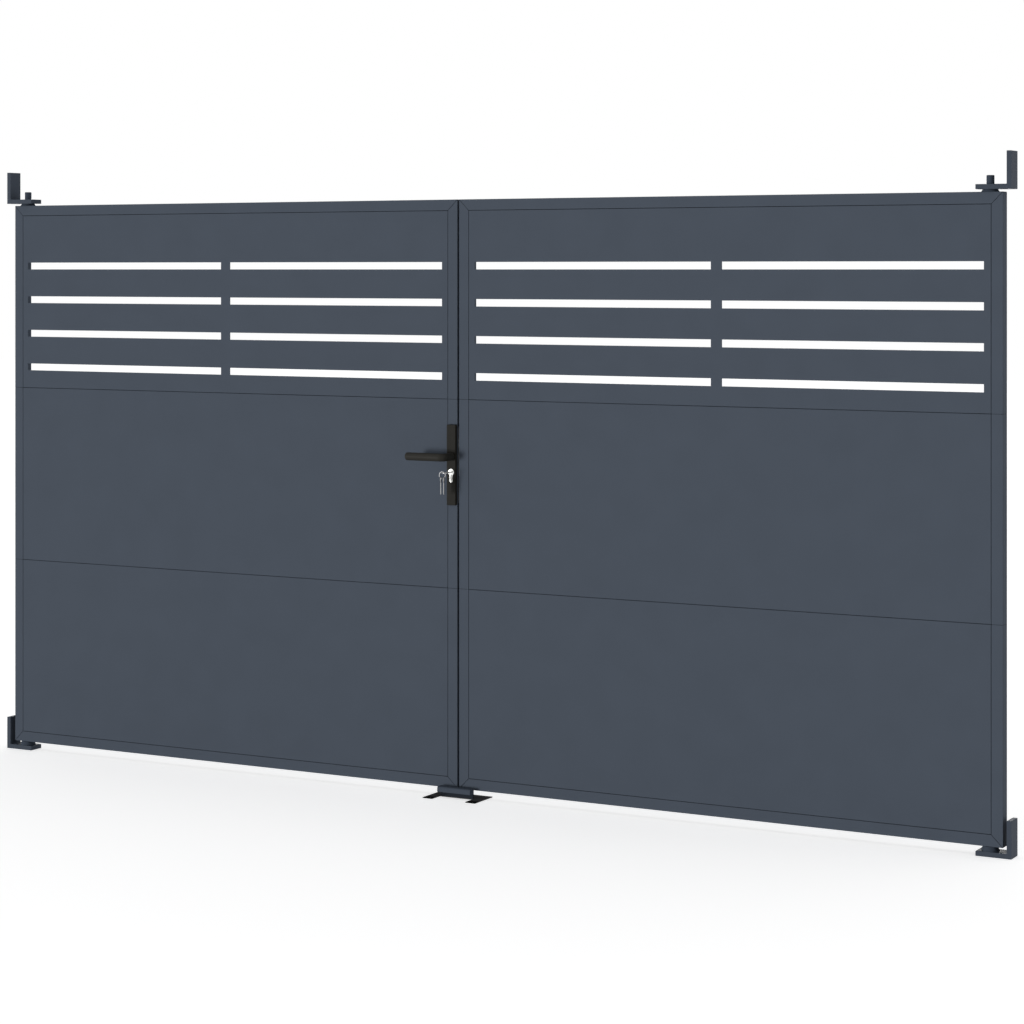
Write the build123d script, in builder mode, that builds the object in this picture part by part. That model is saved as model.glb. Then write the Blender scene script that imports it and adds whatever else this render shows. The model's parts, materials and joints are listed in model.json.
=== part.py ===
from build123d import *
import os
from math import sqrt

# Double-leaf aluminium swing gate, millimetres, +Z up.
# Origin: centre of the pillar face of the lower left bracket.
# +X runs across to the right pillar, +Y is the way the leaves open.

# Opening and leaves
opening_width = 3500.0      # pillar face to pillar face
leaf_height = 1800.0
meeting_gap = 6.0           # between the two leaves
frame_face = 33.0           # width of the frame profile seen from the front
frame_depth = 35.0
frame_wall = 2.0
frame_edge = 1.0            # rounded edges of the frame profile
frame_rebate = 8.0          # step behind the panel sheet, past the frame's face
mitre_gap = 1.2             # joint line at the mitred corners
score_depth = 1.0           # joint lines across the stiles

# Sheet panels
sheet = 2.0                 # thickness of the panel sheet
sheet_play = 0.1            # sheet to the floor of the frame's rebate
edge_gap = 1.6              # joint line between a sheet's edge and the frame
panel_seam = 1.0            # joint between two panels
return_depth = 18.0         # folded edge of a panel, from the sheet's front
return_bend = 1.4           # outer radius of the fold
lip_height = 10.0           # folded lip behind the seam, on the lower of two panels
lip_play = 0.3              # lip to the upper panel's folded edge
return_play = 1.5           # between a folded edge and the stile's rebate

# Slots in the top panel
slot_height = 22.5
slot_pitch = 112.8
slot_rows = 4
slot_columns = 2
slot_margin = 21.5          # from the stile to the slot's end
slot_bar = 35.0             # web between the two columns
slot_first = 158.2          # from the top rail to the first slot

# Hinge brackets and pivots
bracket_leg = 14.0
bracket_side_gap = 13.0     # upright leg to the leaf's edge
bracket_height = 105.0
bracket_reach = 103.0       # level leg, from the pillar face
bracket_depth = 52.0
bracket_edge = 1.5          # rounded edges
lower_gap = 13.0            # lower level leg to the leaf
upper_gap = 7.0             # leaf to the upper level leg
pivot_inset = 41.5          # leaf's edge to the pivot axis
collar_low_radius = 25.5    # collars widen downwards
collar_top_radius = 21.0
collar_play = 0.4           # running gap between collar and bracket
pin_radius = 8.0
pin_play = 0.05             # radial running clearance in the bush
pin_seat = 0.02             # radial clearance in the bracket
pin_inset = 1.0             # pin's lower end above the bracket's underside
pin_end = 1.0               # pin's end short of the bush's end
pin_head_radius = 11.0
pin_head_height = 25.0
pin_head_edge = 1.5
bush_radius = 10.5
bush_seat = 0.05
bush_height = 27.0          # inside the rail

# Floor stop
stop_plate = 2.5
stop_width = 183.0
stop_front = 76.0           # feet's front edge, from the leaf's middle
stop_back = 33.5            # plate's back edge, from the leaf's middle
stop_foot = 33.5            # width of each foot
stop_gap = 5.0              # stop to the leaf's front
stop_web = 6.0              # thickness of the upright web under the nose
stop_nose = 24.0            # depth of the nose
stop_over = 6.5             # nose above the leaf's lower edge
stop_under = 10.2           # nose below the leaf's lower edge
stop_round = 6.0
stop_soften = 2.0
stop_side_play = 0.5        # nose and web to the inner edges of the feet

# Lock plates and lever
lock_plate_width = 31.0
lock_plate_height = 246.5
lock_plate_depth = 10.0
lock_plate_corner = 2.5
lock_plate_edge = 1.5
lock_plate_drop = 148.6     # spindle axis to the plate's lower end
spindle_height = 1014.0     # from the leaf's lower edge
spindle_side = 8.0          # square spindle
spindle_play = 0.05         # spindle in the lever's socket
spindle_grip = 18.0         # how far the spindle sits in each lever
spindle_hole = 7.0          # radius of its hole through the stile
neck_radius = 9.0
neck_play = 0.06            # radial running clearance in the plate
neck_in = 8.0               # neck inside the plate
lever_rest = 0.4            # lever's foot to the plate
grip_radius = 12.1
grip_reach = 131.0          # spindle axis to the grip's tip
grip_standoff = 58.0        # grip axis to the leaf's face
grip_turn = 16.0            # radius of the bend between neck and grip
grip_tip = 3.0              # bevel of the grip's tip

# Mortise lock in the left leaf, strike on the right one
forend = 1.2                # thickness of the lock's edge plate, flush in the stile
forend_width = 20.0
forend_height = 235.0
case_thick = 16.0
case_depth = 30.0
case_height = 170.0
case_play = 0.3             # case, edge plate and strike in their cut-outs
follower_hole = 6.0         # radius of the spindle's hole through the case
bolt_thick = 11.0
bolt_in = 22.0              # bolt behind the stile's edge
bolt_set = 0.2              # drawn-back bolt below the edge plate's face
bolt_play = 0.3
latch_height = 24.0
latch_rise = 22.0           # spindle axis to the latch's middle
latch_bevel = 1.2
dead_height = 18.0
dead_drop = 22.0            # spindle axis to the dead bolt's middle
strike = 1.2                # thickness of the strike plate, flush in the stile
strike_width = 24.0
strike_height = 120.0
strike_play = 2.0           # strike's holes round the bolts

# Cylinder, key and ring
cylinder_round = 10.8
cylinder_lobe = 6.0         # half width of the lower lobe
cylinder_height = 43.0
cylinder_drop = 47.3        # spindle axis to the middle of the cylinder's round head
cylinder_proud = 1.0        # past the lock plate
cylinder_edge = 0.6
cylinder_play = 0.1
plug_radius = 7.2
plug_line = 0.4             # width and depth of the line round the plug
keyway_play = 0.2
key_thick = 2.4
key_blade_width = 8.4
key_stem = 23.0             # blade seen between cylinder and bow
key_in = 12.0               # blade inside the cylinder
key_rim_out = 11.5
key_rim_in = 8.5
key_edge = 0.5
bit_size = 2.4              # square of each notch in a key's edge
bit_pitch = 4.2
bit_count = 4
bit_start = 4.0             # first notch, from the cylinder or from the key's tip
ring_inner = 9.2
ring_wire = 2.0             # square of the ring's two coils
ring_edge = 0.3
ring_groove = 0.6           # square of the line between the coils
ring_lift = 2.0             # ring's inner top above the rim's middle
spare_spread = 5.0          # each spare key from the ring's middle
spare_turn = 20.0           # spare keys turned about the upright, degrees
spare_thick = 2.0
spare_bow = 9.5
spare_hole = 4.2
spare_rim = 2.6             # metal above the hole
spare_length = 55.0         # whole spare key
spare_blade_width = 6.5
spare_tip = 1.5
spare_drop = 1.8            # hole's centre below the ring's wire

# Values worked out from the sizes above
half_depth = frame_depth / 2
leaf_side = bracket_leg + bracket_side_gap
leaf_width = (opening_width - 2 * leaf_side - meeting_gap) / 2
leaf_left = leaf_side
leaf_right = leaf_side + leaf_width
ground = -bracket_height / 2
leaf_low = ground + bracket_leg + lower_gap
leaf_top = leaf_low + leaf_height
upper_leg = leaf_top + upper_gap
middle_x = opening_width / 2
pivot_x = leaf_left + pivot_inset

sheet_front = -half_depth
sheet_back = sheet_front + sheet
rebate_floor = sheet_back + sheet_play
clear_width = leaf_width - 2 * frame_face
clear_height = leaf_height - 2 * frame_face
panel_height = (clear_height - 2 * panel_seam) / 3
panel_step = panel_height + panel_seam
leaf_middle = leaf_left + leaf_width / 2
slot_length = (clear_width - 2 * slot_margin - (slot_columns - 1) * slot_bar) / slot_columns

lock_x = leaf_right - frame_face / 2
spindle_z = leaf_low + spindle_height
plate_front = -half_depth - lock_plate_depth
cylinder_front = plate_front - cylinder_proud
lock_middle = spindle_z - lock_plate_drop + lock_plate_height / 2
cylinder_z = spindle_z - cylinder_drop
key_bow_y = cylinder_front - key_stem - key_rim_out
ring_x = lock_x - (key_rim_out + key_rim_in) / 2
ring_radius = ring_inner + ring_wire / 2
ring_z = cylinder_z + ring_lift - ring_inner

os.makedirs("parts", exist_ok=True)


def save(piece, name):
    piece.part.label = name
    export_step(piece.part, "parts/" + name + ".step")


def save_pair(piece, name):
    # A left-hand piece, and its mirror image on the other side of the opening's middle.
    save(piece, "left_" + name)
    with BuildPart() as twin:
        mirror(piece.part, about=Plane.YZ.offset(middle_x))
    save(twin, "right_" + name)


# Hollow mitred frame profiles

def frame_member(corner, inward, along, length):
    # Starts at a corner of the leaf. Section: local x runs from the outer edge to the panel,
    # local y to the back, with a rebate for the sheet at the front.
    width = frame_face + frame_rebate
    front, back = -half_depth + frame_wall, half_depth - frame_wall
    step = rebate_floor + frame_wall
    trim = mitre_gap / sqrt(2)
    with BuildPart() as member:
        with BuildSketch(Plane(origin=corner, x_dir=inward, z_dir=along)) as section:
            with Locations((width / 2, 0)):
                Rectangle(width, frame_depth)
            fillet(section.vertices(), frame_edge)
            with Locations((frame_face, -half_depth)):
                Rectangle(frame_rebate, rebate_floor + half_depth, align=(Align.MIN, Align.MIN),
                          mode=Mode.SUBTRACT)
            with Locations((frame_wall, step)):
                Rectangle(width - 2 * frame_wall, back - step, align=(Align.MIN, Align.MIN),
                          mode=Mode.SUBTRACT)
            with Locations((frame_wall, front)):
                Rectangle(frame_face - 2 * frame_wall, step - front, align=(Align.MIN, Align.MIN),
                          mode=Mode.SUBTRACT)
        extrude(amount=length)
        with BuildSketch(Plane(origin=corner, x_dir=inward, z_dir=(0, -1, 0))):
            with BuildLine():
                Polyline((0, trim), (width, width + trim),
                         (width, length - width - trim), (0, length - trim), close=True)
            make_face()
        extrude(amount=frame_depth, both=True, mode=Mode.INTERSECT)
    return member


def seam_lines(stile, edge, inward):
    # Scores the front, outer side and back of a stile in line with the panels' seams.
    width = frame_face + frame_rebate
    with BuildPart() as scored:
        add(stile.part)
        for place in (1, 2):
            level = leaf_top - frame_face - place * panel_step
            with BuildSketch(Plane(origin=(edge, 0, level), x_dir=(inward, 0, 0), z_dir=(0, 0, 1))):
                Rectangle(width, frame_depth, align=(Align.MIN, Align.CENTER))
                with Locations((score_depth, 0)):
                    Rectangle(width, frame_depth - 2 * score_depth,
                              align=(Align.MIN, Align.CENTER), mode=Mode.SUBTRACT)
            extrude(amount=panel_seam, mode=Mode.SUBTRACT)
    return scored


def bush_hole(member, level):
    # Opens a rail's outer wall for the bush, on the pivot axis.
    with BuildPart() as opened:
        add(member.part)
        with BuildSketch(Plane.XY.offset(level)):
            with Locations((pivot_x, 0)):
                Circle(bush_radius + bush_seat)
        extrude(amount=frame_face / 2, both=True, mode=Mode.SUBTRACT)
    return opened


hinge_stile = frame_member((leaf_left, 0, leaf_low), (1, 0, 0), (0, 0, 1), leaf_height)
save_pair(seam_lines(hinge_stile, leaf_left, 1), "hinge_stile")

top_rail = frame_member((leaf_left, 0, leaf_top), (0, 0, -1), (1, 0, 0), leaf_width)
save_pair(bush_hole(top_rail, leaf_top), "top_rail")

bottom_rail = frame_member((leaf_right, 0, leaf_low), (0, 0, 1), (-1, 0, 0), leaf_width)
save_pair(bush_hole(bottom_rail, leaf_low), "bottom_rail")

meeting_stile = seam_lines(
    frame_member((leaf_right, 0, leaf_top), (-1, 0, 0), (0, 0, -1), leaf_height), leaf_right, -1)


# Outlines shared by the stiles, the plates, the lock and the cylinder

def cylinder_outline(plane, play):
    # Round head with a narrower lobe below, centred on the head.
    with BuildSketch(plane) as outline:
        Circle(cylinder_round + play)
        lobe = cylinder_height - cylinder_round - cylinder_lobe
        with BuildSketch(mode=Mode.PRIVATE) as tail:
            with Locations((0, -lobe / 2)):
                Rectangle(2 * (cylinder_lobe + play), lobe)
            with Locations((0, -lobe)):
                Circle(cylinder_lobe + play)
        add(tail.sketch)
    return outline.sketch


def bolt_outlines(plane, play):
    # Latch above the spindle and dead bolt below it, seen from the leaf's meeting edge.
    with BuildSketch(plane) as outline:
        with Locations((0, latch_rise)):
            Rectangle(bolt_thick + 2 * play, latch_height + 2 * play)
        with Locations((0, -dead_drop)):
            Rectangle(bolt_thick + 2 * play, dead_height + 2 * play)
    return outline.sketch


lock_plane = Plane(origin=(lock_x, 0, cylinder_z), x_dir=(1, 0, 0), z_dir=(0, -1, 0))
spindle_plane = Plane(origin=(lock_x, 0, spindle_z), x_dir=(1, 0, 0), z_dir=(0, -1, 0))

edge_plane = Plane(origin=(leaf_right, 0, spindle_z), x_dir=(0, 1, 0), z_dir=(1, 0, 0))
case_plane = Plane(origin=(leaf_right, 0, lock_middle), x_dir=(0, 1, 0), z_dir=(1, 0, 0))
strike_plane = edge_plane.offset(meeting_gap)

with BuildPart() as right_meeting_stile:
    mirror(meeting_stile.part, about=Plane.YZ.offset(middle_x))
    with BuildSketch(strike_plane):
        Rectangle(strike_width + 2 * case_play, strike_height + 2 * case_play)
    extrude(amount=strike, mode=Mode.SUBTRACT)
    extrude(bolt_outlines(strike_plane, strike_play), amount=2 * frame_wall, mode=Mode.SUBTRACT)
save(right_meeting_stile, "right_meeting_stile")

with BuildPart() as left_lock_stile:
    add(meeting_stile.part)
    with BuildSketch(case_plane):
        Rectangle(forend_width + 2 * case_play, forend_height + 2 * case_play)
    extrude(amount=-forend, mode=Mode.SUBTRACT)
    with BuildSketch(case_plane):
        Rectangle(case_thick + 2 * case_play, case_height + 2 * case_play)
    extrude(amount=-2 * frame_wall, mode=Mode.SUBTRACT)
    extrude(cylinder_outline(lock_plane, cylinder_play), amount=frame_depth, both=True,
            mode=Mode.SUBTRACT)
    with BuildSketch(spindle_plane):
        Circle(spindle_hole)
    extrude(amount=frame_depth, both=True, mode=Mode.SUBTRACT)
save(left_lock_stile, "left_lock_stile")


# Sheet panels: flush in the frame's rebate, folded back where two panels meet

def sheet_panel(place, folded_top, folded_bottom, slotted):
    high = leaf_top - frame_face - place * panel_step
    low = high - panel_height
    top_edge = high if folded_top else high - edge_gap
    bottom_edge = low if folded_bottom else low + edge_gap
    fold_width = clear_width - 2 * (frame_rebate + return_play)
    with BuildPart() as panel:
        with BuildSketch(Plane.XZ.offset(-sheet_back)):
            with Locations((leaf_middle, (top_edge + bottom_edge) / 2)):
                Rectangle(clear_width - 2 * edge_gap, top_edge - bottom_edge)
        extrude(amount=sheet)
        if folded_top:
            with BuildSketch(Plane.XZ.offset(-sheet_front - return_depth)):
                with Locations((leaf_middle, high)):
                    Rectangle(fold_width, sheet, align=(Align.CENTER, Align.MAX))
            extrude(amount=return_depth)
            with BuildSketch(Plane.XZ.offset(-sheet_front - return_depth)):
                with Locations((leaf_middle, high - sheet)):
                    Rectangle(fold_width, sheet + lip_height, align=(Align.CENTER, Align.MIN))
            extrude(amount=sheet)
        if folded_bottom:
            short_return = return_depth - sheet - lip_play
            with BuildSketch(Plane.XZ.offset(-sheet_front - short_return)):
                with Locations((leaf_middle, low)):
                    Rectangle(fold_width, sheet, align=(Align.CENTER, Align.MIN))
            extrude(amount=short_return)
        front_edges = panel.edges().filter_by(Axis.X).group_by(Axis.Y)[0].sort_by(Axis.Z)
        bends = []
        if folded_top:
            bends.append(front_edges[-1])
        if folded_bottom:
            bends.append(front_edges[0])
        fillet(bends, return_bend)
        if slotted:
            rows_span = (slot_rows - 1) * slot_pitch
            rows_middle = high - slot_first - slot_height / 2 - rows_span / 2
            with BuildSketch(Plane.XZ.offset(-sheet_back)):
                with Locations((leaf_middle, rows_middle)):
                    with GridLocations(slot_length + slot_bar, slot_pitch, slot_columns, slot_rows):
                        Rectangle(slot_length, slot_height)
            extrude(amount=sheet, mode=Mode.SUBTRACT)
    return panel


save_pair(sheet_panel(0, False, True, True), "slotted_panel")
save_pair(sheet_panel(1, True, True, False), "middle_panel")
save_pair(sheet_panel(2, True, False, False), "lower_panel")


# Hinge brackets, pins and bushes

def bracket(leg_level, upright):
    # L-shaped bracket: level leg from leg_level up, upright leg rising from its foot.
    with BuildPart() as piece:
        with BuildSketch(Plane.XZ):
            with Locations((0, leg_level)):
                Rectangle(bracket_reach, bracket_leg, align=(Align.MIN, Align.MIN))
                Rectangle(bracket_leg, upright, align=(Align.MIN, Align.MIN))
        extrude(amount=bracket_depth / 2, both=True)
        fillet(piece.edges().filter_by(Axis.Y), bracket_edge)
        with BuildSketch(Plane.XY.offset(leg_level)):
            with Locations((pivot_x, 0)):
                Circle(pin_radius + pin_seat)
        extrude(amount=bracket_leg, mode=Mode.SUBTRACT)
    return piece


def turned(outline):
    # A round piece on the pivot axis, from its outline in radius and height.
    with BuildPart() as piece:
        with BuildSketch(Plane(origin=(pivot_x, 0, 0), x_dir=(1, 0, 0), z_dir=(0, -1, 0))):
            with BuildLine():
                Polyline(*outline, close=True)
            make_face()
        revolve(axis=Axis((pivot_x, 0, 0), (0, 0, 1)))
    return piece


save_pair(bracket(ground, bracket_height), "lower_bracket")
save_pair(bracket(upper_leg, bracket_height), "upper_bracket")

lower_pin = turned([(0, ground + pin_inset), (pin_radius, ground + pin_inset),
                    (pin_radius, leaf_low + bush_height - pin_end),
                    (0, leaf_low + bush_height - pin_end)])
save_pair(lower_pin, "lower_pin")

head_low = upper_leg + bracket_leg
head_top = head_low + pin_head_height
upper_pin = turned([(0, leaf_top - bush_height + pin_end),
                    (pin_radius, leaf_top - bush_height + pin_end),
                    (pin_radius, head_low), (pin_head_radius, head_low),
                    (pin_head_radius, head_top - pin_head_edge),
                    (pin_head_radius - pin_head_edge, head_top), (0, head_top)])
save_pair(upper_pin, "upper_pin")

bore = pin_radius + pin_play
collar_low = leaf_low - lower_gap + collar_play
lower_bush = turned([(bore, collar_low), (collar_low_radius, collar_low), (collar_top_radius, leaf_low),
                     (bush_radius, leaf_low), (bush_radius, leaf_low + bush_height),
                     (bore, leaf_low + bush_height)])
save_pair(lower_bush, "lower_bush")

collar_top = leaf_top + upper_gap - collar_play
upper_bush = turned([(bore, collar_top), (collar_top_radius, collar_top), (collar_low_radius, leaf_top),
                     (bush_radius, leaf_top), (bush_radius, leaf_top - bush_height),
                     (bore, leaf_top - bush_height)])
save_pair(upper_bush, "upper_bush")


# Floor stop: a flat plate with two feet, and a block with an upright web and a rounded nose

stop_notch = stop_width - 2 * stop_foot
nose_width = stop_notch - 2 * stop_side_play
nose_back = -half_depth - stop_gap
web_front = nose_back - stop_web
nose_low = leaf_low - stop_under
with BuildPart() as floor_stop_plate:
    with BuildSketch(Plane.XY.offset(ground)):
        with Locations((middle_x, stop_back)):
            Rectangle(stop_width, stop_front + stop_back, align=(Align.CENTER, Align.MAX))
        with Locations((middle_x, -stop_front)):
            Rectangle(stop_notch, stop_front + web_front, align=(Align.CENTER, Align.MIN),
                      mode=Mode.SUBTRACT)
    extrude(amount=stop_plate)
save(floor_stop_plate, "floor_stop_plate")

with BuildPart() as floor_stop_block:
    with BuildSketch(Plane.YZ.offset(middle_x)) as nose_profile:
        with Locations((nose_back, nose_low)):
            Rectangle(stop_nose, stop_over + stop_under, align=(Align.MAX, Align.MIN))
        crown = nose_profile.vertices().group_by(Axis.Y)[-1].sort_by(Axis.X)
        fillet(crown[0], stop_round)
        front_low = nose_profile.vertices().group_by(Axis.Y)[0].sort_by(Axis.X)
        fillet(front_low[0], stop_soften)
        with Locations((nose_back, ground + stop_plate)):
            Rectangle(stop_web, nose_low - ground - stop_plate, align=(Align.MAX, Align.MIN))
    extrude(amount=nose_width / 2, both=True)
save(floor_stop_block, "floor_stop_block")


# Lock plates, cylinder and levers

def lock_plate():
    with BuildPart() as plate:
        with BuildSketch(Plane.XZ.offset(half_depth)):
            with Locations((lock_x, lock_middle)):
                RectangleRounded(lock_plate_width, lock_plate_height, lock_plate_corner)
        extrude(amount=lock_plate_depth)
        fillet(plate.faces().sort_by(Axis.Y)[0].edges(), lock_plate_edge)
        extrude(cylinder_outline(lock_plane, cylinder_play), amount=half_depth + lock_plate_depth,
                mode=Mode.SUBTRACT)
        with BuildSketch(spindle_plane):
            Circle(neck_radius + neck_play)
        extrude(amount=half_depth + lock_plate_depth, mode=Mode.SUBTRACT)
    return plate


def lever():
    # Round bar: out from the plate, round a bend and along to the tip, with a socketed neck behind.
    foot = plate_front - lever_rest
    reach = -half_depth - grip_standoff
    neck_end = plate_front + neck_in
    with BuildPart() as piece:
        with BuildLine() as path:
            FilletPolyline((lock_x, foot, spindle_z), (lock_x, reach, spindle_z),
                           (lock_x - grip_reach, reach, spindle_z), radius=grip_turn)
        with BuildSketch(Plane(origin=(lock_x, foot, spindle_z), x_dir=(1, 0, 0), z_dir=(0, -1, 0))):
            Circle(grip_radius)
        sweep(path=path.wires()[0])
        tip = piece.faces().filter_by(GeomType.PLANE).sort_by(Axis.X)[0]
        chamfer(tip.edges(), grip_tip)
        with BuildSketch(Plane(origin=(lock_x, neck_end, spindle_z), x_dir=(1, 0, 0), z_dir=(0, -1, 0))):
            Circle(neck_radius)
        extrude(amount=neck_in + lever_rest + grip_radius / 2)
        with BuildSketch(Plane(origin=(lock_x, neck_end, spindle_z), x_dir=(1, 0, 0), z_dir=(0, -1, 0))):
            Rectangle(spindle_side + 2 * spindle_play, spindle_side + 2 * spindle_play)
        extrude(amount=spindle_grip, mode=Mode.SUBTRACT)
    return piece


def save_front_and_back(piece, name):
    # The front piece, and its mirror image on the back of the leaf.
    save(piece, "front_" + name)
    with BuildPart() as twin:
        mirror(piece.part, about=Plane.XZ)
    save(twin, "back_" + name)


save_front_and_back(lock_plate(), "lock_plate")
save_front_and_back(lever(), "lever")

spindle_half = -(plate_front + neck_in - spindle_grip) - 2 * spindle_play
with BuildPart() as lever_spindle:
    with BuildSketch(spindle_plane):
        Rectangle(spindle_side, spindle_side)
    extrude(amount=spindle_half, both=True)
save(lever_spindle, "lever_spindle")

with BuildPart() as lock_cylinder:
    extrude(cylinder_outline(lock_plane, 0), amount=-cylinder_front, both=True)
    ends = lock_cylinder.faces().filter_by(Axis.Y)
    chamfer(ends.edges(), cylinder_edge)
    for facing in (-1, 1):
        end = Plane(origin=(lock_x, -facing * cylinder_front, cylinder_z), x_dir=(1, 0, 0),
                    z_dir=(0, facing, 0))
        with BuildSketch(end):
            Circle(plug_radius + plug_line)
            Circle(plug_radius, mode=Mode.SUBTRACT)
        extrude(amount=-plug_line, mode=Mode.SUBTRACT)
        with BuildSketch(end):
            Rectangle(key_blade_width + 2 * keyway_play, key_thick + 2 * keyway_play)
        extrude(amount=-(key_in + keyway_play), mode=Mode.SUBTRACT)
save(lock_cylinder, "lock_cylinder")


# Mortise lock: case and edge plate, two bolts drawn back, strike plate on the other leaf

with BuildPart() as lock_case:
    with BuildSketch(case_plane):
        Rectangle(case_thick, case_height)
    extrude(amount=-case_depth)
    with BuildSketch(case_plane):
        Rectangle(forend_width, forend_height)
    extrude(amount=-forend)
    extrude(bolt_outlines(edge_plane, bolt_play), amount=-(bolt_in + bolt_play), mode=Mode.SUBTRACT)
    extrude(cylinder_outline(lock_plane, cylinder_play), amount=frame_depth, both=True,
            mode=Mode.SUBTRACT)
    with BuildSketch(spindle_plane):
        Circle(follower_hole)
    extrude(amount=frame_depth, both=True, mode=Mode.SUBTRACT)
save(lock_case, "lock_case")

bolt_plane = edge_plane.offset(-bolt_in)
bolt_length = bolt_in - bolt_set
with BuildPart() as latch_bolt:
    with BuildSketch(bolt_plane):
        with Locations((0, latch_rise)):
            Rectangle(bolt_thick, latch_height)
    extrude(amount=bolt_length)
    nose = latch_bolt.edges().filter_by(Axis.Z).group_by(Axis.X)[-1].sort_by(Axis.Y)[0]
    chamfer(nose, latch_bevel)
save(latch_bolt, "latch_bolt")

with BuildPart() as dead_bolt:
    with BuildSketch(bolt_plane):
        with Locations((0, -dead_drop)):
            Rectangle(bolt_thick, dead_height)
    extrude(amount=bolt_length)
save(dead_bolt, "dead_bolt")

with BuildPart() as strike_plate:
    with BuildSketch(strike_plane):
        Rectangle(strike_width, strike_height)
    extrude(amount=strike)
    extrude(bolt_outlines(strike_plane, strike_play), amount=strike, mode=Mode.SUBTRACT)
save(strike_plate, "strike_plate")


# Key in the lock, split ring and the two spare keys

with BuildPart() as key:
    with BuildSketch(Plane.XY.offset(cylinder_z - key_thick / 2)):
        with Locations((lock_x, key_bow_y)):
            Circle(key_rim_out)
            Rectangle(key_blade_width, key_rim_out + key_stem + key_in, align=(Align.CENTER, Align.MIN))
            Circle(key_rim_in, mode=Mode.SUBTRACT)
        with Locations((lock_x + key_blade_width / 2, cylinder_front - bit_start)):
            with Locations(*[(0, -row * bit_pitch) for row in range(bit_count)]):
                Rectangle(bit_size, bit_size, rotation=45, mode=Mode.SUBTRACT)
    extrude(amount=key_thick)
    bow_edges = key.edges().filter_by(GeomType.CIRCLE)
    chamfer(bow_edges, key_edge)
save(key, "key")

with BuildPart() as key_ring:
    with BuildSketch(Plane.XY.offset(ring_z)) as coils:
        with Locations((ring_x + ring_radius, key_bow_y)):
            Rectangle(ring_wire, ring_wire)
        chamfer(coils.vertices(), ring_edge)
        with Locations((ring_x + ring_radius + ring_wire / 2, key_bow_y)):
            Rectangle(ring_groove, ring_groove, rotation=45, mode=Mode.SUBTRACT)
    revolve(axis=Axis((ring_x, key_bow_y, ring_z), (0, 1, 0)))
save(key_ring, "key_ring")


def spare_key(side):
    x = ring_x + side * spare_spread
    wire_z = ring_z - sqrt(ring_radius ** 2 - spare_spread ** 2)
    hole_z = wire_z - spare_drop
    bow_z = hole_z + spare_hole + spare_rim - spare_bow
    tip_z = bow_z + spare_bow - spare_length
    flat = Plane(origin=(x, key_bow_y, 0), x_dir=Vector(0, 1, 0).rotate(Axis.Z, spare_turn),
                 z_dir=Vector(1, 0, 0).rotate(Axis.Z, spare_turn))
    with BuildPart() as piece:
        with BuildSketch(flat) as outline:
            with Locations((0, bow_z)):
                Circle(spare_bow)
                Rectangle(spare_blade_width, bow_z - tip_z, align=(Align.CENTER, Align.MAX))
            chamfer(outline.vertices().group_by(Axis.Y)[0], spare_tip)
            with Locations((0, hole_z)):
                Circle(spare_hole, mode=Mode.SUBTRACT)
            with Locations((spare_blade_width / 2, tip_z + bit_start)):
                with Locations(*[(0, row * bit_pitch) for row in range(bit_count)]):
                    Rectangle(bit_size, bit_size, rotation=45, mode=Mode.SUBTRACT)
        extrude(amount=spare_thick / 2, both=True)
    return piece


save(spare_key(-1), "spare_key_left")
save(spare_key(1), "spare_key_right")
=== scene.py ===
import bpy
import json
import math
import numpy as np
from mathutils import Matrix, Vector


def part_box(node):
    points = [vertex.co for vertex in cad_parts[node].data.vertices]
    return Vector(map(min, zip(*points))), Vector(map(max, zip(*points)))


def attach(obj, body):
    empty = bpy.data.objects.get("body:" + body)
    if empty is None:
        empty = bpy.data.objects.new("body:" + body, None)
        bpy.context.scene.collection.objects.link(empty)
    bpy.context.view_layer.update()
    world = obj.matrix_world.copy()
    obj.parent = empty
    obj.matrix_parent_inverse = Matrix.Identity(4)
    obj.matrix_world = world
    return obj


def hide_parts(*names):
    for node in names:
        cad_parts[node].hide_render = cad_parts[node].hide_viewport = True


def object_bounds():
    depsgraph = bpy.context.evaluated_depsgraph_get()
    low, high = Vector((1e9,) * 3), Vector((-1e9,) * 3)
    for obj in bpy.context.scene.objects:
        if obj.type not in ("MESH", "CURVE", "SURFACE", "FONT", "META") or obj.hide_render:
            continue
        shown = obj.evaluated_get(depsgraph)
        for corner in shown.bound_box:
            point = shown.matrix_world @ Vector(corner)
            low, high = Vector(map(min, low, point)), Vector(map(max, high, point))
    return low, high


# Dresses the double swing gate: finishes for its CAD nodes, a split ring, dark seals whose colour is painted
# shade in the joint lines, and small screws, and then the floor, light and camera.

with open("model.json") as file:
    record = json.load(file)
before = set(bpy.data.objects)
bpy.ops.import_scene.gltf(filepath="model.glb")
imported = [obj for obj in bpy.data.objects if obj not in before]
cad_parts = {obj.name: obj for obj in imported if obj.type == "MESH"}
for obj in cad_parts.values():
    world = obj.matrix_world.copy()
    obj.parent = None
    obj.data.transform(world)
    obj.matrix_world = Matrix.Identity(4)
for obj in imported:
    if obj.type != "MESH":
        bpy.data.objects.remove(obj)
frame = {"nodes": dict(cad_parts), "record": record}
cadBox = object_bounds()
record = frame["record"]
nodes = frame["nodes"]
print("frame loaded:", len(nodes), "nodes")


# Finishes. Each is a node tree on Object coordinates, made by one function.

def newFinish(name):
    material = bpy.data.materials.new(name)
    material.use_nodes = True
    tree = material.node_tree
    shader = tree.nodes["Principled BSDF"]
    place = tree.nodes.new("ShaderNodeTexCoord")
    return material, tree, shader, place.outputs["Object"]


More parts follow.
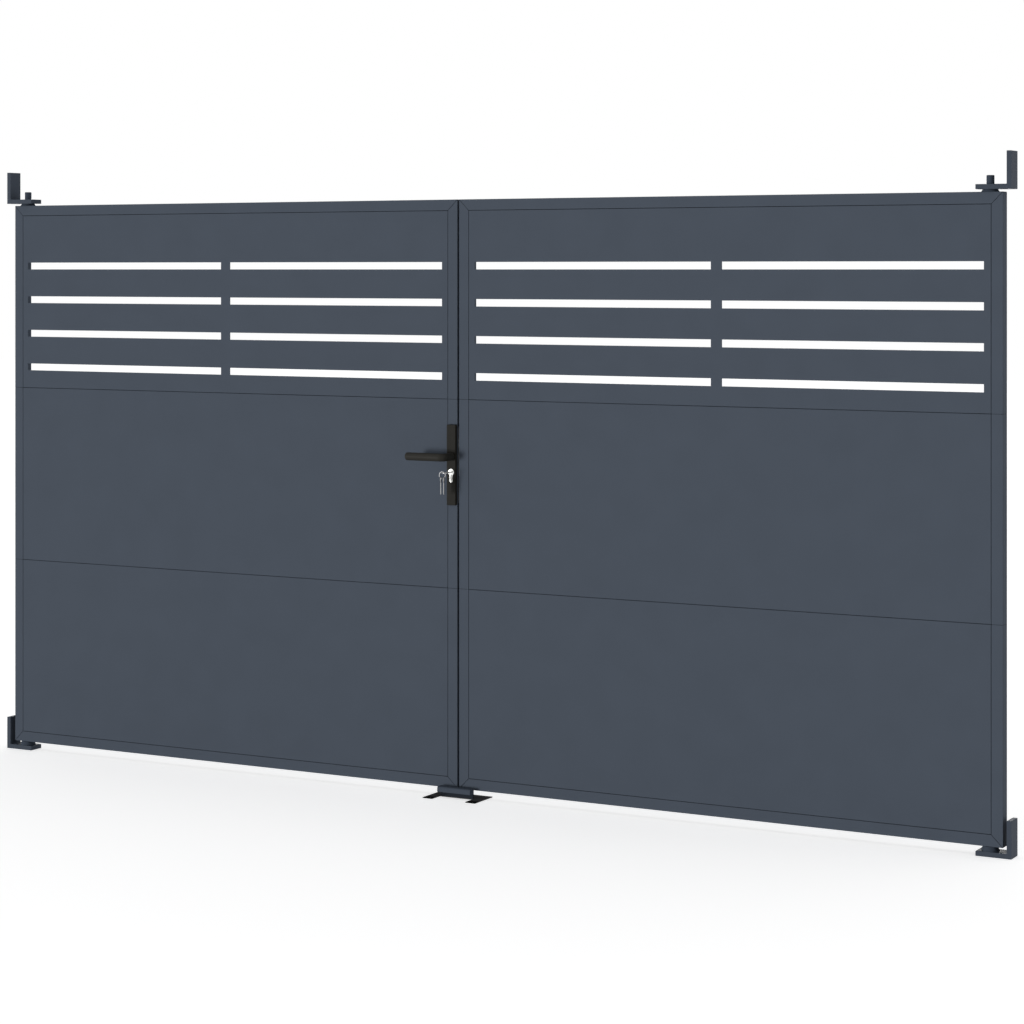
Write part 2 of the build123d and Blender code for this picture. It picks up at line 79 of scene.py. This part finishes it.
def noiseOn(tree, coords, scale, detail, stretch=None):
    # noise with grains of about 1/scale metres, stretched by a Mapping where the finish has a direction
    noise = tree.nodes.new("ShaderNodeTexNoise")
    noise.inputs["Scale"].default_value = scale
    noise.inputs["Detail"].default_value = detail
    if stretch is not None:
        mapping = tree.nodes.new("ShaderNodeMapping")
        mapping.inputs["Scale"].default_value = stretch
        tree.links.new(coords, mapping.inputs["Vector"])
        coords = mapping.outputs["Vector"]
    tree.links.new(coords, noise.inputs["Vector"])
    return noise.outputs["Fac"]


def ranged(tree, value, source, target):
    # maps the range source to the range target and stops at its ends
    mapRange = tree.nodes.new("ShaderNodeMapRange")
    mapRange.inputs["From Min"].default_value = source[0]
    mapRange.inputs["From Max"].default_value = source[1]
    mapRange.inputs["To Min"].default_value = target[0]
    mapRange.inputs["To Max"].default_value = target[1]
    tree.links.new(value, mapRange.inputs["Value"])
    return mapRange.outputs["Result"]


noiseBody = (0.3, 0.7)  # where most of a noise's values lie


def tinted(tree, value, dark, light):
    # colour between two close shades
    mix = tree.nodes.new("ShaderNodeMix")
    mix.data_type = "RGBA"
    mix.inputs["A"].default_value = (*dark, 1)
    mix.inputs["B"].default_value = (*light, 1)
    tree.links.new(value, mix.inputs["Factor"])
    return mix.outputs["Result"]


def raised(tree, shader, value, depth, strength):
    bump = tree.nodes.new("ShaderNodeBump")
    bump.inputs["Distance"].default_value = depth
    bump.inputs["Strength"].default_value = strength
    tree.links.new(value, bump.inputs["Height"])
    tree.links.new(bump.outputs["Normal"], shader.inputs["Normal"])


def linear(colour):
    # screen colour, 0 to 255, as linear light
    share = np.array(colour) / 255
    return np.where(share <= 0.04045, share / 12.92, ((share + 0.055) / 1.055) ** 2.4)


def faded(tree, coords, colour, fade):
    # darkens a colour along one axis: times fade["dark"] before the first place, unchanged after the second
    parts = tree.nodes.new("ShaderNodeSeparateXYZ")
    tree.links.new(coords, parts.inputs["Vector"])
    share = ranged(tree, parts.outputs[fade["axis"]], fade["places"], (fade["dark"], 1))
    scale = tree.nodes.new("ShaderNodeVectorMath")
    scale.operation = "SCALE"
    tree.links.new(colour, scale.inputs["Vector"])
    tree.links.new(share, scale.inputs["Scale"])
    return scale.outputs["Vector"]


def powderCoat(name, look, fade=None):
    # matt powder coat: a fine grain in its skin and gloss, and a faint cloud in its shade
    material, tree, shader, coords = newFinish(name)
    base = linear(look["colour"])
    cloud = noiseOn(tree, coords, look["cloudScale"], 3)
    grain = noiseOn(tree, coords, look["grainScale"], 4)
    shade = ranged(tree, cloud, noiseBody, (0, 1))
    colour = tinted(tree, shade, base * (1 - look["shade"]), base * (1 + look["shade"]))
    if fade is not None:
        colour = faded(tree, coords, colour, fade)
    tree.links.new(colour, shader.inputs["Base Color"])
    tree.links.new(ranged(tree, grain, noiseBody, look["roughness"]), shader.inputs["Roughness"])
    raised(tree, shader, grain, look["grainDepth"], look["grainStrength"])
    shader.inputs["Specular IOR Level"].default_value = look["specular"]
    return material


def platedMetal(name, look):
    # plated metal with fine strokes along one direction
    material, tree, shader, coords = newFinish(name)
    base = np.array(look["colour"])
    strokes = noiseOn(tree, coords, look["strokeScale"], 3, look["strokeStretch"])
    shade = ranged(tree, strokes, noiseBody, (0, 1))
    colour = tinted(tree, shade, base * (1 - look["shade"]), base * (1 + look["shade"]))
    tree.links.new(colour, shader.inputs["Base Color"])
    tree.links.new(ranged(tree, strokes, noiseBody, look["roughness"]), shader.inputs["Roughness"])
    raised(tree, shader, strokes, look["strokeDepth"], look["strokeStrength"])
    shader.inputs["Metallic"].default_value = 1.0
    return material


gatePaint = {
    "colour": (70, 77, 87), "shade": 0.025, "cloudScale": 9, "grainScale": 700, "grainDepth": 0.0002,
    "grainStrength": 0.25, "roughness": (0.5, 0.62), "specular": 0.015,
}
bracketPaint = dict(gatePaint, colour=(57, 64, 74), cloudScale=40, specular=0.07)
pivotPaint = dict(gatePaint, colour=(58, 65, 75), cloudScale=60, roughness=(0.4, 0.52))
stopPaint = dict(gatePaint, colour=(66, 73, 83), cloudScale=40)
footPaint = dict(gatePaint, colour=(72, 72, 73), cloudScale=60, roughness=(0.55, 0.7), specular=0.0)
plateCoat = dict(gatePaint, colour=(35, 34, 31), cloudScale=60, grainScale=1400, grainDepth=0.0001,
                 roughness=(0.42, 0.52), specular=0.03)
# The lever's black coat is a lighter copy of the plate's; the extra lightness is painted light on the lever.
leverPaintedLightCoat = dict(plateCoat, colour=(45, 44, 41), roughness=(0.45, 0.55), specular=0.05)
# dark rubber of the joint seals: its dark colour is painted shade in the joint lines
sealShadeRubber = dict(gatePaint, colour=(14, 15, 17), cloudScale=60, roughness=(0.6, 0.75), specular=0.02)
nickelPlate = {
    "colour": (0.25, 0.25, 0.24), "shade": 0.05, "strokeScale": 900, "strokeStretch": (1, 0.08, 1),
    "strokeDepth": 0.00005, "strokeStrength": 0.3, "roughness": (0.36, 0.48),
}
keySteel = dict(nickelPlate, colour=(0.36, 0.36, 0.36), roughness=(0.38, 0.5))
ringSteel = dict(keySteel, colour=(0.17, 0.17, 0.17))
zincPlate = dict(nickelPlate, colour=(0.31, 0.31, 0.32), strokeStretch=(1, 1, 0.08), roughness=(0.38, 0.52))

# The stop's web is darker than its nose: painted shade under the nose. The feet are darker at their front
# ends.
stopShades = {
    "noseTall": 0.0167, "webPaintedShade": 0.35, "webShadeBlend": 0.001,
    "tipLong": 0.03, "tipDark": 0.2, "tipBlend": 0.012,
}
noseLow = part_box("floor_stop_block")[1][2] - stopShades["noseTall"]
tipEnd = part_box("floor_stop_plate")[0][1] + stopShades["tipLong"]
# painted shade: the web's colour is darkened below the nose's lower edge
webShadeFade = {"axis": "Z", "places": (noseLow - stopShades["webShadeBlend"], noseLow), "dark": stopShades["webPaintedShade"]}
tipFade = {"axis": "Y", "places": (tipEnd - stopShades["tipBlend"], tipEnd), "dark": stopShades["tipDark"]}

finishes = {
    "gate_paint": powderCoat("gatePaint", gatePaint),
    "bracket_paint": powderCoat("bracketPaint", bracketPaint),
    "pivot_steel": powderCoat("pivotPaint", pivotPaint),
    "stop_paint": powderCoat("stopPaint", stopPaint, webShadeFade),
    "stop_plate_paint": powderCoat("footPaint", footPaint, tipFade),
    "black_coat": powderCoat("plateCoat", plateCoat),
    "nickel": platedMetal("nickelPlate", nickelPlate),
    "key_steel": platedMetal("keySteel", keySteel),
    "zinc_steel": platedMetal("zincPlate", zincPlate),
}
leverPaintedLightFinish = powderCoat("leverPaintedLightCoat", leverPaintedLightCoat)
ringFinish = platedMetal("ringSteel", ringSteel)
sealShadeFinish = powderCoat("sealShadeRubber", sealShadeRubber)
for subpart in record["subparts"]:
    nodes[subpart["node"]].data.materials[0] = finishes[subpart["material_slot"]]
# the levers take the lighter copy of the black coat, which carries painted light
for lever in ("front_lever", "back_lever"):
    nodes[lever].data.materials[0] = leverPaintedLightFinish
print("finishes set on", len(record["subparts"]), "nodes")


# Pieces made here are surfaces of two parameters on a grid of points.

def surfacePiece(name, points, closedAcross, finish, body, smooth=True):
    # points[row, column] is the surface; rows run along it, columns go round it when closedAcross is true
    rows, columns = points.shape[:2]
    number = np.arange(rows * columns).reshape(rows, columns)
    ahead = np.roll(number, -1, axis=1)
    last = columns if closedAcross else columns - 1
    faces = np.stack([number[:-1, :last], ahead[:-1, :last], ahead[1:, :last], number[1:, :last]], axis=-1)
    mesh = bpy.data.meshes.new(name)
    mesh.from_pydata(points.reshape(-1, 3).tolist(), [], faces.reshape(-1, 4).tolist())
    mesh.validate()
    mesh.materials.append(finish)
    mesh.polygons.foreach_set("use_smooth", [smooth] * len(mesh.polygons))
    mesh.update()
    piece = bpy.data.objects.new(name, mesh)
    bpy.context.scene.collection.objects.link(piece)
    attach(piece, body)
    return piece


splitRing = {
    "wireTall": 0.0019, "wireShare": 0.47, "crossing": 14, "crossingAt": 215, "squareness": 5.0,
    "stepsRound": 220, "stepsAcross": 24,
}


def makeSplitRing():
    # Two coils of flat wire side by side about the Y axis, with one crossing from front to back.
    # A point is centre + (radius + a) * outwards(angle) + (side(angle) + b) * Y, where a and b go round a
    # rounded square. The first and last rows shrink to a point and close the wire's ends.
    low, high = (np.array(corner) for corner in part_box("key_ring"))
    centre = (low + high) / 2
    width = high[1] - low[1]
    radius = (high[0] - low[0]) / 2 - splitRing["wireTall"] / 2
    half = math.radians(splitRing["crossing"])
    angle = np.linspace(half, 4 * np.pi - half, splitRing["stepsRound"])
    angle = np.concatenate([angle[:1], angle, angle[-1:]])
    size = np.ones_like(angle)
    size[[0, -1]] = 0
    share = np.clip((angle - 2 * np.pi + half) / (2 * half), 0, 1)
    side = (share * share * (3 - 2 * share) - 0.5) * width / 2
    turn = angle + math.radians(splitRing["crossingAt"])
    outwards = np.stack([np.cos(turn), np.zeros_like(turn), np.sin(turn)], axis=-1)
    around = np.linspace(0, 2 * np.pi, splitRing["stepsAcross"], endpoint=False)
    bend = 2 / splitRing["squareness"]
    tall = np.sign(np.cos(around)) * np.abs(np.cos(around)) ** bend * splitRing["wireTall"] / 2
    thick = np.sign(np.sin(around)) * np.abs(np.sin(around)) ** bend * width * splitRing["wireShare"] / 2
    reach = radius + size[:, None] * tall
    points = centre + reach[:, :, None] * outwards[:, None, :]
    points[:, :, 1] += side[:, None] + size[:, None] * thick
    ring = surfacePiece("splitRing", points, True, ringFinish, "key_bunch")
    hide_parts("key_ring")


makeSplitRing()
print("split ring made")


shadeSeals = {
    "jointWidth": 0.0016, "jointFloor": 0.002, "jointRise": 0.0013, "seamHeight": 0.001,
    "scoreFill": 0.0005, "frameFace": 0.033, "steps": 7,
}


def makeShadeSeals(side):
    # Dark seal in the joint lines of one leaf; its dark colour is painted shade in the joints. The long
    # bead's section is half an ellipse, laid round the panels along a rectangle that grows from the panels'
    # edge to the frame's, so its corners are mitred.
    # The two seams between panels have the same section. Flat dark strips fill the scored lines round the
    # stiles, as painted shade too.
    body = side + "_leaf"
    panelLow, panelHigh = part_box(side + "_slotted_panel")
    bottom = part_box(side + "_lower_panel")[0][2]
    front = panelLow[1]
    share = np.linspace(0, 1, shadeSeals["steps"])
    depth = front + shadeSeals["jointFloor"] - shadeSeals["jointRise"] * np.sqrt(1 - (2 * share - 1) ** 2)
    grow = share * shadeSeals["jointWidth"]
    corners = ((panelLow[0], bottom, -1, -1), (panelLow[0], panelHigh[2], -1, 1),
               (panelHigh[0], panelHigh[2], 1, 1), (panelHigh[0], bottom, 1, -1),
               (panelLow[0], bottom, -1, -1))
    bead = np.array([np.stack([x + signX * grow, depth, z + signZ * grow], axis=-1)
                     for x, z, signX, signZ in corners])
    surfacePiece(side + "JointSeal", bead[::-1], False, sealShadeFinish, body, smooth=False)
    for place, upper in (("Upper", "_slotted_panel"), ("Lower", "_middle_panel")):
        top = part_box(side + upper)[0][2]
        level = top - share * shadeSeals["seamHeight"]
        ends = (panelLow[0], panelHigh[0])
        seam = np.array([np.stack([np.full_like(level, x), depth, level], axis=-1) for x in ends])
        surfacePiece(side + place + "SeamSeal", seam, False, sealShadeFinish, body, smooth=False)
        for stile in ("_hinge_stile", "_lock_stile" if side == "left" else "_meeting_stile"):
            low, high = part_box(side + stile)
            atLeft = low[0] < panelLow[0]
            outer, way = (low[0], 1) if atLeft else (high[0], -1)
            fill = shadeSeals["scoreFill"]
            face = outer + way * shadeSeals["frameFace"]
            inner = high[0] if atLeft else low[0]
            path = ((face, low[1] + fill), (outer + way * fill, low[1] + fill),
                    (outer + way * fill, high[1] - fill), (inner, high[1] - fill))
            strip = np.array([[(x, y, top), (x, y, top - shadeSeals["seamHeight"])] for x, y in path])
            name = side + place + stile.title().replace("_", "") + "Seal"
            outwards = strip[::-1] if atLeft else strip
            surfacePiece(name, outwards, False, sealShadeFinish, body, smooth=False)


for side in ("left", "right"):
    makeShadeSeals(side)
print("seals made")


screws = {
    "radius": 0.0042, "dome": 0.0004, "rim": 0.0001, "socket": 0.0023, "socketDepth": 0.0004,
    "domeShares": (0.3, 0.6, 0.85, 1.0), "steps": 48,
    "plateInset": 0.011, "forendInset": 0.009, "strikeInset": 0.009, "cylinderDrop": 0.022,
}


def makeScrew(name, seat, facing, across, finish, body):
    # Low domed head with a six sided socket, seated at seat and looking along facing.
    # A row is a closed line round the head. Its distance from the axis goes from the hexagon of the socket
    # to the circle of the edge, and its height from the socket's floor up its wall, over the dome and down
    # the rim.
    facing, across = np.array(facing, float), np.array(across, float)
    upwards = np.cross(facing, across)
    turn = np.linspace(0, 2 * np.pi, screws["steps"], endpoint=False)
    sixth = np.pi / 3
    hexagon = screws["socket"] * math.cos(sixth / 2) / np.cos(turn % sixth - sixth / 2)
    circle = np.full_like(turn, screws["radius"])
    top = screws["rim"] + screws["dome"]
    floor = top - screws["socketDepth"]
    lines = [(hexagon * 0, floor), (hexagon, floor), (hexagon, top)]
    for share in screws["domeShares"]:
        height = screws["rim"] + screws["dome"] * (1 - share ** 2)
        lines.append((hexagon + (circle - hexagon) * share, height))
    lines.append((circle, 0.0))
    points = np.empty((len(lines), len(turn), 3))
    for row, (distance, height) in enumerate(lines):
        points[row] = (np.array(seat) + height * facing
                       + (distance * np.cos(turn))[:, None] * across
                       + (distance * np.sin(turn))[:, None] * upwards)
    surfacePiece(name, points[::-1], True, finish, body, smooth=False)


def makeScrews():
    # The back lock plate has two screws, the lock's edge plate two and the cylinder's own, the strike two.
    black, zinc = finishes["black_coat"], finishes["zinc_steel"]
    low, high = (np.array(corner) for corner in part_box("back_lock_plate"))
    middle = (low + high) / 2
    for end, level in (("low", low[2] + screws["plateInset"]), ("top", high[2] - screws["plateInset"])):
        makeScrew("plateScrew" + end.title(), (middle[0], high[1], level), (0, 1, 0), (1, 0, 0),
                  black, "left_leaf")
    low, high = (np.array(corner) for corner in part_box("lock_case"))
    cylinderLow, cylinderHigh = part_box("lock_cylinder")
    for end, level in (("low", low[2] + screws["forendInset"]), ("top", high[2] - screws["forendInset"]),
                       ("cylinder", cylinderHigh[2] - screws["cylinderDrop"])):
        makeScrew("forendScrew" + end.title(), (high[0], 0, level), (1, 0, 0), (0, 1, 0),
                  zinc, "left_leaf")
    low, high = (np.array(corner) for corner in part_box("strike_plate"))
    for end, level in (("low", low[2] + screws["strikeInset"]), ("top", high[2] - screws["strikeInset"])):
        makeScrew("strikeScrew" + end.title(), (low[0], 0, level), (-1, 0, 0), (0, 1, 0),
                  zinc, "right_leaf")


makeScrews()
print("screws made")


# Floor, light and camera.

studio = {
    "floorSize": 60.0, "floorColour": (0.86, 0.86, 0.86), "floorRoughness": 0.9,
    "floorGlow": 0.565, "ambient": 0.40,
    "keyStrength": 2.25, "keySide": 31, "keyRise": -5, "keySoft": 18,
    "fillStrength": 2.1, "fillSide": 155, "fillRise": -3, "fillSoft": 30,
    "sideStrength": 0.8, "sideSide": -100, "sideRise": 2, "sideSoft": 40,
    "topStrength": 0.45, "topSide": 180, "topRise": 70, "topSoft": 120,
}


def seenByEye(tree):
    # 1 for camera, glossy and transmitted rays, 0 for the light that falls on the object
    path = tree.nodes.new("ShaderNodeLightPath")
    either = path.outputs["Is Camera Ray"]
    for ray in ("Is Glossy Ray", "Is Transmission Ray"):
        larger = tree.nodes.new("ShaderNodeMath")
        larger.operation = "MAXIMUM"
        tree.links.new(either, larger.inputs[0])
        tree.links.new(path.outputs[ray], larger.inputs[1])
        either = larger.outputs[0]
    return either


def studioWorld():
    world = bpy.data.worlds.new("studioWorld")
    world.use_nodes = True
    tree = world.node_tree
    back = tree.nodes["Background"]
    back.inputs["Color"].default_value = (1, 1, 1, 1)
    tree.links.new(ranged(tree, seenByEye(tree), (0, 1), (studio["ambient"], 1.0)), back.inputs["Strength"])
    bpy.context.scene.world = world


def paleFloor():
    # one large square at the level of the lowest bracket's underside, which lets the low lamps through
    half = studio["floorSize"] / 2
    level = cadBox[0][2]
    middle = (cadBox[0][0] + cadBox[1][0]) / 2
    corners = [(middle + half * x, half * y, level) for x, y in ((-1, -1), (1, -1), (1, 1), (-1, 1))]
    mesh = bpy.data.meshes.new("floor")
    mesh.from_pydata(corners, [], [(0, 1, 2, 3)])
    floor = bpy.data.objects.new("floor", mesh)
    bpy.context.scene.collection.objects.link(floor)
    floor.visible_shadow = False
    material = bpy.data.materials.new("floorPale")
    material.use_nodes = True
    tree = material.node_tree
    shader = tree.nodes["Principled BSDF"]
    shader.inputs["Base Color"].default_value = (*studio["floorColour"], 1)
    shader.inputs["Roughness"].default_value = studio["floorRoughness"]
    shader.inputs["Specular IOR Level"].default_value = 0.0
    shader.inputs["Emission Color"].default_value = (1, 1, 1, 1)
    glow = ranged(tree, seenByEye(tree), (0, 1), (0, studio["floorGlow"]))
    tree.links.new(glow, shader.inputs["Emission Strength"])
    mesh.materials.append(material)


def sunLamp(name):
    # sun at a side angle from the front, in degrees to the viewer's left, and a rise over the horizon
    light = bpy.data.lights.new(name + "Lamp", "SUN")
    light.energy = studio[name + "Strength"]
    light.angle = math.radians(studio[name + "Soft"])
    lamp = bpy.data.objects.new(name + "Lamp", light)
    bpy.context.scene.collection.objects.link(lamp)
    tilt = math.radians(90 - studio[name + "Rise"])
    lamp.rotation_euler = (tilt, 0, math.radians(-studio[name + "Side"]))


view = {
    "place": (5.7764, -7.0004, 1.561), "turn": 28.8, "lens": 92.74, "sensor": 36, "shiftUp": -0.2370,
    "farthest": 200,
}


def photoCamera():
    # level camera with a falling shift, so that uprights stay upright
    camera = bpy.data.cameras.new("photoCamera")
    camera.lens = view["lens"]
    camera.sensor_width = view["sensor"]
    camera.shift_y = view["shiftUp"]
    camera.clip_end = view["farthest"]
    eye = bpy.data.objects.new("photoCamera", camera)
    bpy.context.scene.collection.objects.link(eye)
    eye.location = view["place"]
    eye.rotation_euler = (math.radians(90), 0, math.radians(view["turn"]))
    bpy.context.scene.camera = eye


studioWorld()
paleFloor()
for lamp in ("key", "fill", "side", "top"):
    sunLamp(lamp)
photoCamera()
bpy.context.scene.view_settings.view_transform = "Standard"
print("floor, light and camera set")
